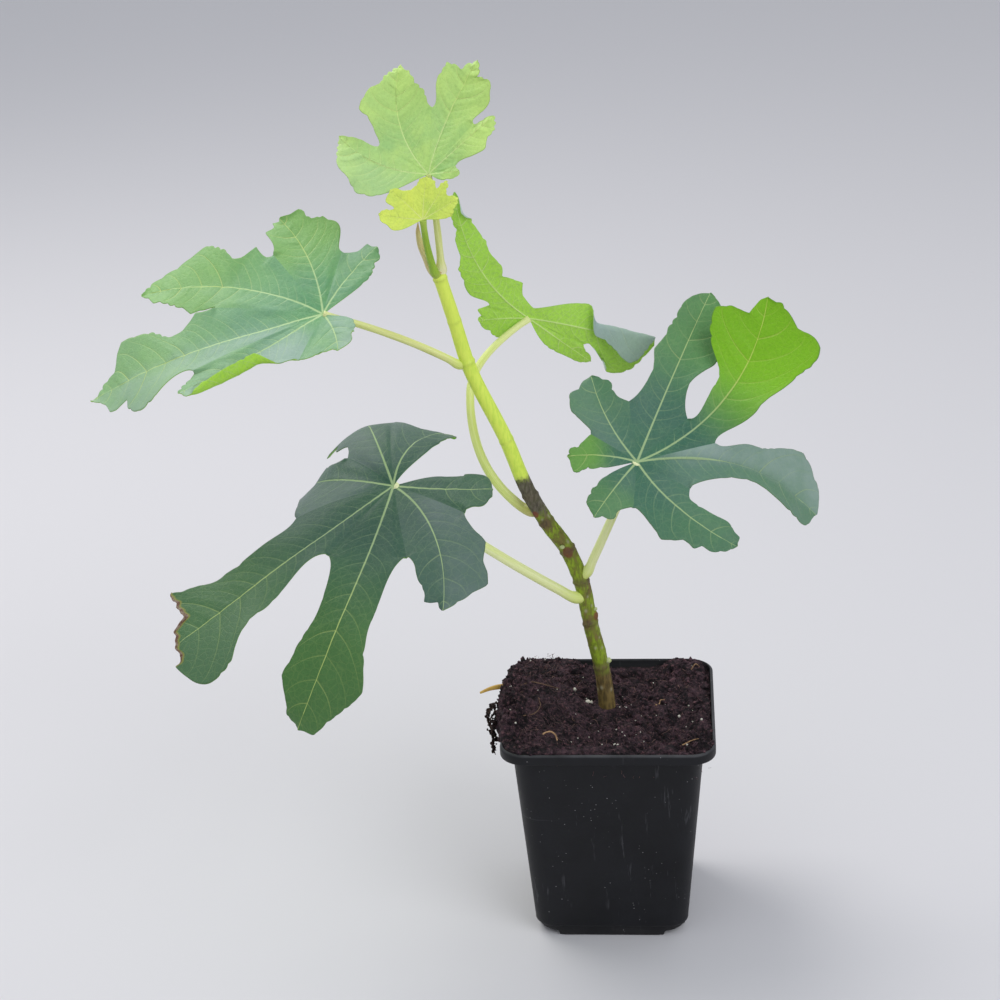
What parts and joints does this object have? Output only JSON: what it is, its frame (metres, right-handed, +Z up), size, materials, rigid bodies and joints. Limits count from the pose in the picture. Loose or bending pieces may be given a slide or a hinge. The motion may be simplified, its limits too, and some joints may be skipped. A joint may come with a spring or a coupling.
{
  "type": "potted fig sapling",
  "caption": "Young fig plant with broad lobed leaves on long stalks, leaning out of a small square black nursery pot filled with dark compost.",
  "frame": {"origin": "centre of the pot's flat underside, where it stands", "axes": "+Z up, -Y toward the front of the picture, +X to the right; the pot's sides are square to X and Y"},
  "size_m": [0.2976, 0.1494, 0.371],
  "materials": {
    "pot": "satin",
    "compost": "matte",
    "trunk": "satin",
    "stalk_left_lower": "satin",
    "stalk_right": "satin",
    "stalk_back_lower": "satin",
    "stalk_back_upper": "satin",
    "stalk_left_upper": "satin",
    "stalk_top": "satin",
    "stalk_young": "satin",
    "leaf_left_lower": "satin",
    "leaf_right": "satin",
    "leaf_left_upper": "satin",
    "leaf_back": "satin",
    "leaf_top": "satin",
    "leaf_young": "satin"
  },
  "bodies": {
    "root": {"pot": "pot", "compost": "compost", "trunk": "trunk", "stalk_left_lower": "stalk_left_lower", "stalk_right": "stalk_right", "stalk_back_lower": "stalk_back_lower", "stalk_back_upper": "stalk_back_upper", "stalk_left_upper": "stalk_left_upper", "stalk_top": "stalk_top", "stalk_young": "stalk_young", "leaf_left_lower": "leaf_left_lower", "leaf_right": "leaf_right", "leaf_left_upper": "leaf_left_upper", "leaf_back": "leaf_back", "leaf_top": "leaf_top", "leaf_young": "leaf_young"}
  },
  "joints": []
}
